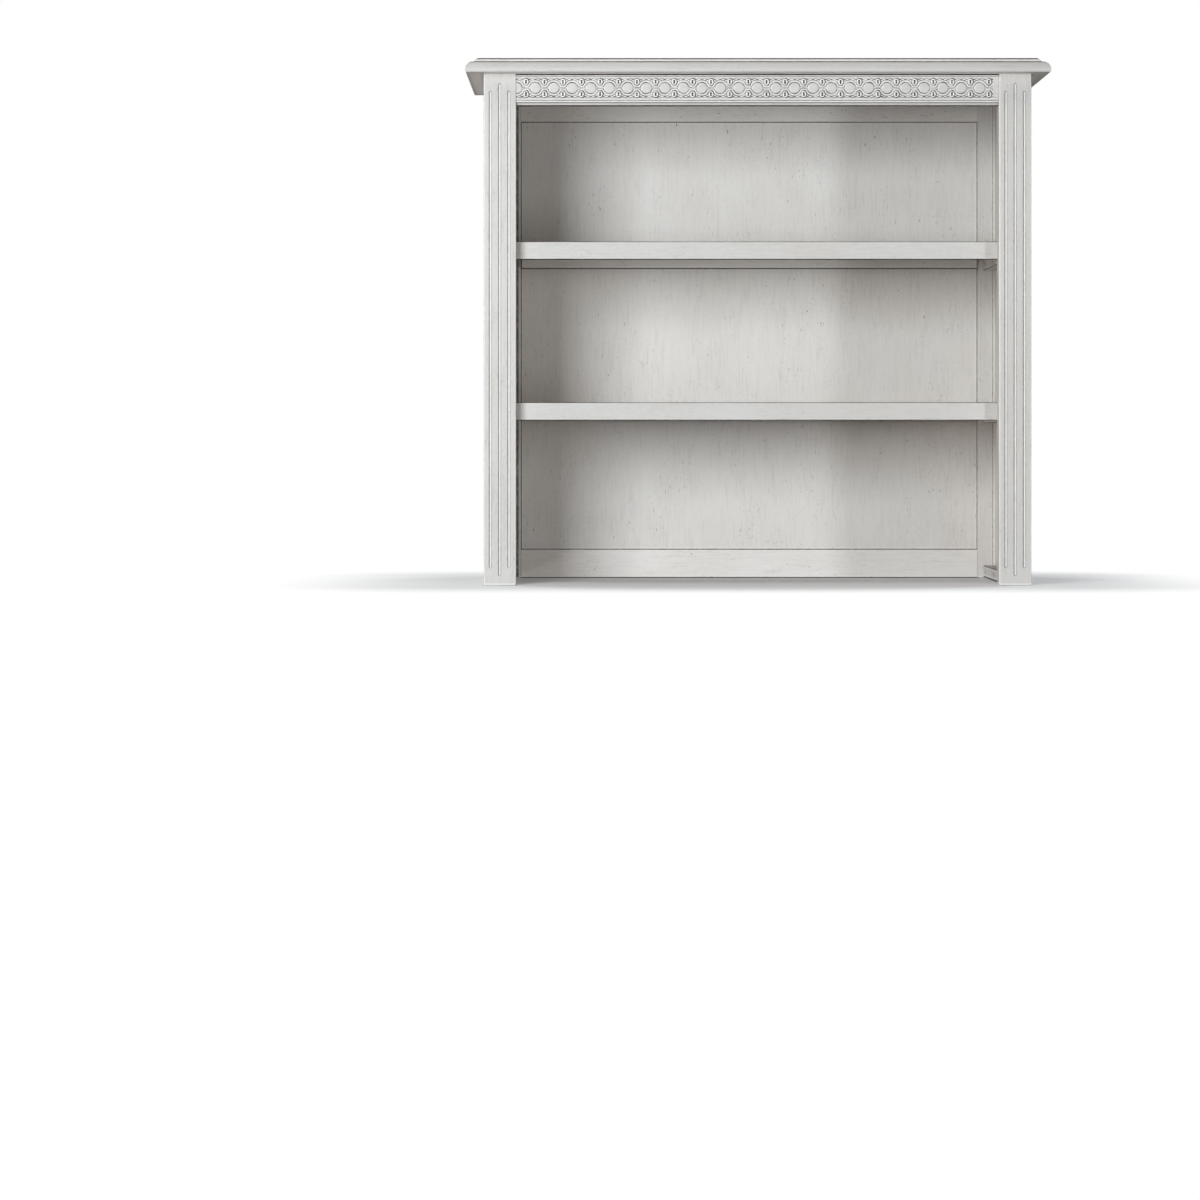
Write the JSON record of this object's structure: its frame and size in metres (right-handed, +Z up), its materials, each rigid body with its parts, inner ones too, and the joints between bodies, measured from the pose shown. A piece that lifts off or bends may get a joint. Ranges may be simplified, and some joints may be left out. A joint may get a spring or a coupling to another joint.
{
  "type": "hutch bookcase",
  "caption": "Open upper bookcase with fluted front posts, a carved frieze, moulded crown board, framed back and fixed shelves, made to stand on a flat top.",
  "frame": {"origin": "bottom centre of the whole piece, on the surface that it stands on", "axes": "+X to the right seen from the front, the open front faces -Y, +Z up"},
  "size_m": [0.902, 0.393, 0.814],
  "materials": {
    "whitewashed_wood": "matt grey-white paint, rubbed back, with darker glaze left in grain and hollows",
    "dowel_wood": "bare beech",
    "screw_steel": "dull zinc-plated steel"
  },
  "bodies": {
    "root": {"back_bottom_rail": "whitewashed_wood", "back_frame_dowels": "dowel_wood", "back_panel": "whitewashed_wood", "back_stile_left": "whitewashed_wood", "back_stile_right": "whitewashed_wood", "back_top_rail": "whitewashed_wood", "cleat_rising_screws": "screw_steel", "cleat_side_screws": "screw_steel", "crown_board": "whitewashed_wood", "crown_cleat_left": "whitewashed_wood", "crown_cleat_right": "whitewashed_wood", "foot_cleat_left": "whitewashed_wood", "foot_cleat_right": "whitewashed_wood", "frieze_moulding": "whitewashed_wood", "frieze_rail": "whitewashed_wood", "lower_shelf_back_batten": "whitewashed_wood", "lower_shelf_board": "whitewashed_wood", "lower_shelf_cleat_left": "whitewashed_wood", "lower_shelf_cleat_right": "whitewashed_wood", "lower_shelf_front_lip": "whitewashed_wood", "post_dowels": "dowel_wood", "post_left": "whitewashed_wood", "post_right": "whitewashed_wood", "side_panel_left": "whitewashed_wood", "side_panel_right": "whitewashed_wood", "upper_shelf_back_batten": "whitewashed_wood", "upper_shelf_board": "whitewashed_wood", "upper_shelf_cleat_left": "whitewashed_wood", "upper_shelf_cleat_right": "whitewashed_wood", "upper_shelf_front_lip": "whitewashed_wood"}
  },
  "joints": []
}
